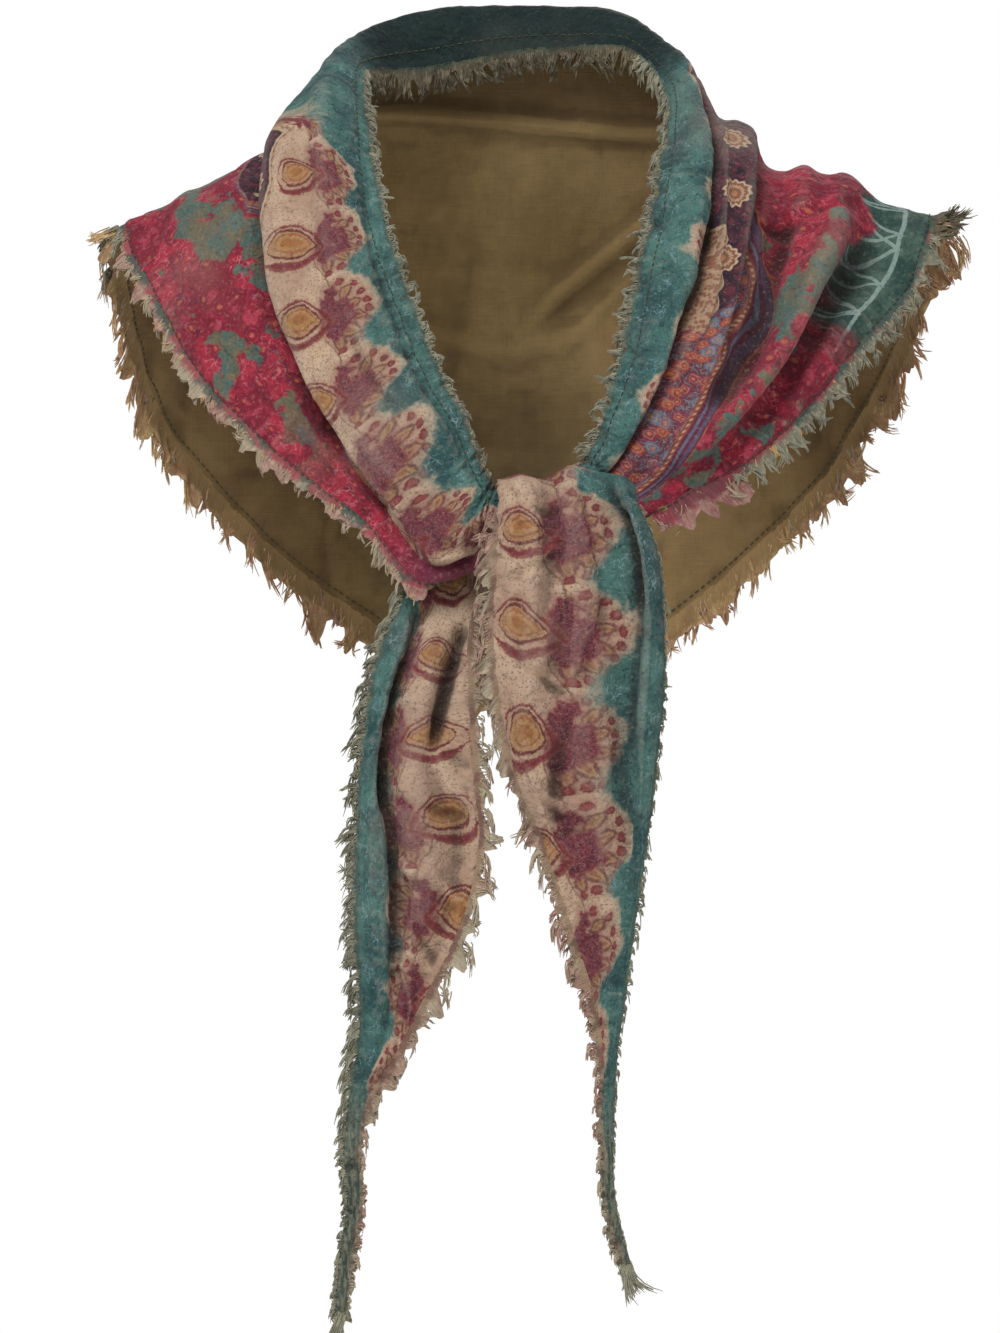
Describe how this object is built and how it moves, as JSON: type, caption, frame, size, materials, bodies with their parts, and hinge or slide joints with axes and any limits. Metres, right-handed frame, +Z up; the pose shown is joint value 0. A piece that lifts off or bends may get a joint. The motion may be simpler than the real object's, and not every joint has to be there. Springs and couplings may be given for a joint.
{
  "type": "triangle scarf",
  "caption": "Two-ply triangle scarf with frayed edges, worn round a neck with its point at the back and its ends tied in a half knot at the front.",
  "frame": {"origin": "on the axis of the neck opening, level with the top of the wearer's shoulders", "axes": "+Z up, +X to the right of someone who faces the scarf, +Y towards the wearer's back"},
  "size_m": [0.42, 0.2491, 0.6399],
  "materials": {
    "printed_cloth": "crinkled matt print",
    "lining_cloth": "matt plain weave",
    "pale_threads": "frayed threads",
    "lining_threads": "frayed threads"
  },
  "bodies": {
    "root": {"band_left": "printed_cloth", "band_back": "printed_cloth", "band_right": "printed_cloth", "front_left": "printed_cloth", "back_panel": "printed_cloth", "front_right": "printed_cloth", "tail_left": "printed_cloth", "tail_right": "printed_cloth", "lining_band_back": "lining_cloth", "lining_back": "lining_cloth", "fringe_front_left": "pale_threads", "fringe_front_right": "pale_threads", "fringe_back_left": "lining_threads", "fringe_back_right": "lining_threads", "fringe_neck_left": "pale_threads", "fringe_neck_back": "pale_threads", "fringe_neck_right": "pale_threads", "fringe_tail_left_outer": "pale_threads", "fringe_tail_left_inner": "pale_threads", "fringe_tail_right_inner": "pale_threads", "fringe_tip_left": "pale_threads", "fringe_tip_right": "pale_threads"}
  },
  "joints": []
}
